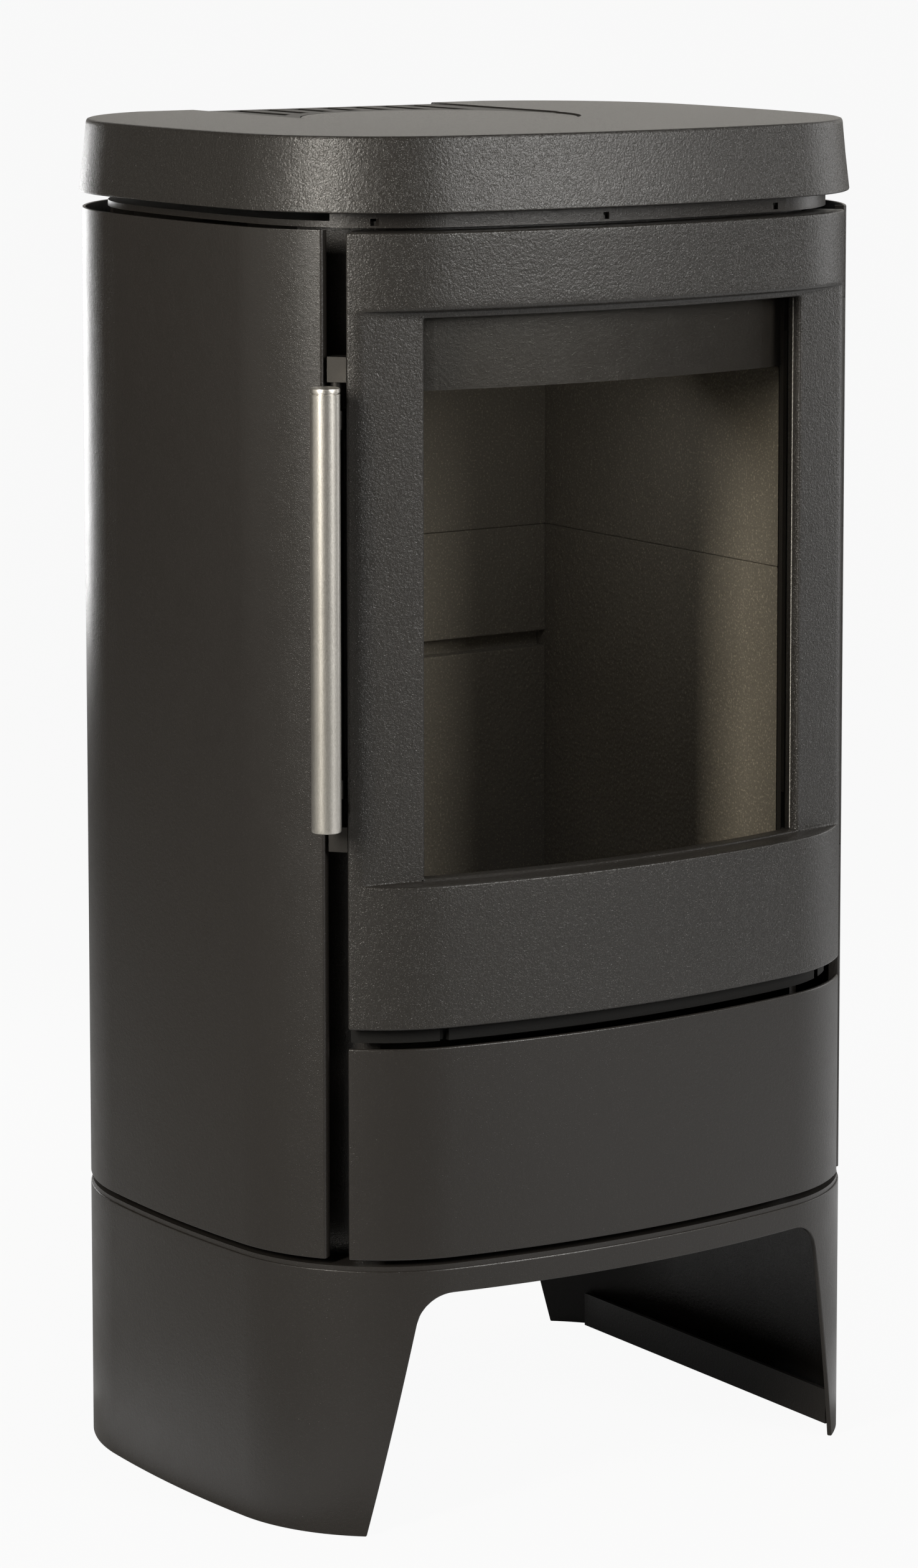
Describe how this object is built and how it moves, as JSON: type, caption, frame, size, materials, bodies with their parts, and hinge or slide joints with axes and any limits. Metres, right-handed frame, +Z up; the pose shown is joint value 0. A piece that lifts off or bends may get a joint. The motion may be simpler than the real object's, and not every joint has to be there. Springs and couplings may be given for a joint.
{
  "type": "wood stove",
  "caption": "Free-standing wood stove with a bowed cast door and curved glass, bar handle, ash drawer, arched base and cast top plate with a lift-off flue cover.",
  "frame": {"origin": "on the floor, at the middle of the stove's footprint", "axes": "+Z up, front towards -Y, +X to the right as seen from the front"},
  "size_m": [0.482, 0.4039, 0.9],
  "materials": {
    "painted_steel": "matt heat-proof paint, fine grain",
    "cast_iron": "painted casting with an orange-peel texture",
    "firebrick": "matt pressed firebrick, sooted",
    "ceramic_glass": "clear ceramic glass",
    "rope_seal": "woven glass-fibre rope",
    "bare_steel": "satin stainless steel"
  },
  "bodies": {
    "stove": {"base_skirt": "painted_steel", "base_plate": "painted_steel", "left_foot_rail": "painted_steel", "right_foot_rail": "painted_steel", "casing_left": "painted_steel", "casing_right": "painted_steel", "casing_back": "painted_steel", "roof_deck": "painted_steel", "front_frame": "painted_steel", "front_ledge": "painted_steel", "left_side_panel": "painted_steel", "right_side_panel": "painted_steel", "left_bracket_upper": "painted_steel", "left_bracket_lower": "painted_steel", "right_bracket_upper": "painted_steel", "right_bracket_lower": "painted_steel", "rear_panel": "painted_steel", "hearth_plate": "painted_steel", "grate": "cast_iron", "brick_left_lower": "firebrick", "brick_left_upper": "firebrick", "brick_right_lower": "firebrick", "brick_right_upper": "firebrick", "brick_back_lower": "firebrick", "brick_back_upper": "firebrick", "baffle": "firebrick", "air_wash_plate": "painted_steel", "collar": "painted_steel", "top_plate": "cast_iron", "top_grille": "cast_iron", "flue_spigot": "painted_steel", "hinge_bracket_upper": "painted_steel", "hinge_bracket_lower": "painted_steel", "latch_keeper_upper": "painted_steel", "latch_keeper_lower": "painted_steel", "left_runner": "painted_steel", "right_runner": "painted_steel"},
    "door": {"door_frame": "cast_iron", "glass_gasket": "rope_seal", "door_glass": "ceramic_glass", "glass_clamp_left": "bare_steel", "glass_clamp_right": "bare_steel", "door_rope": "rope_seal", "hinge_leaf_upper": "bare_steel", "hinge_leaf_lower": "bare_steel", "latch_lug_upper": "bare_steel", "latch_lug_lower": "bare_steel"},
    "handle": {"handle_bar": "bare_steel", "handle_arm_upper": "bare_steel", "handle_arm_lower": "bare_steel", "latch_shaft": "bare_steel", "latch_tongue_upper": "bare_steel", "latch_tongue_lower": "bare_steel"},
    "ash_drawer": {"drawer_front": "painted_steel", "drawer_tray": "painted_steel"},
    "flue_cover": {"flue_cover": "cast_iron"}
  },
  "joints": [
    {"name": "door_hinge", "type": "hinge", "parent": "stove", "child": "door", "pos_m": [0.19871, -0.14647, 0.6], "axis": [0, 0, 1], "range_deg": [0, 105]},
    {"name": "handle_pivot", "type": "hinge", "parent": "door", "child": "handle", "pos_m": [-0.19797, -0.1458, 0.6], "axis": [0, 0, 1], "range_deg": [0, 30]},
    {"name": "drawer_slide", "type": "slide", "parent": "stove", "child": "ash_drawer", "axis": [0, -1, 0], "range_m": [0, 0.22]},
    {"name": "cover_lift", "type": "slide", "parent": "stove", "child": "flue_cover", "axis": [0, 0, 1], "range_m": [0, 0.15]}
  ]
}
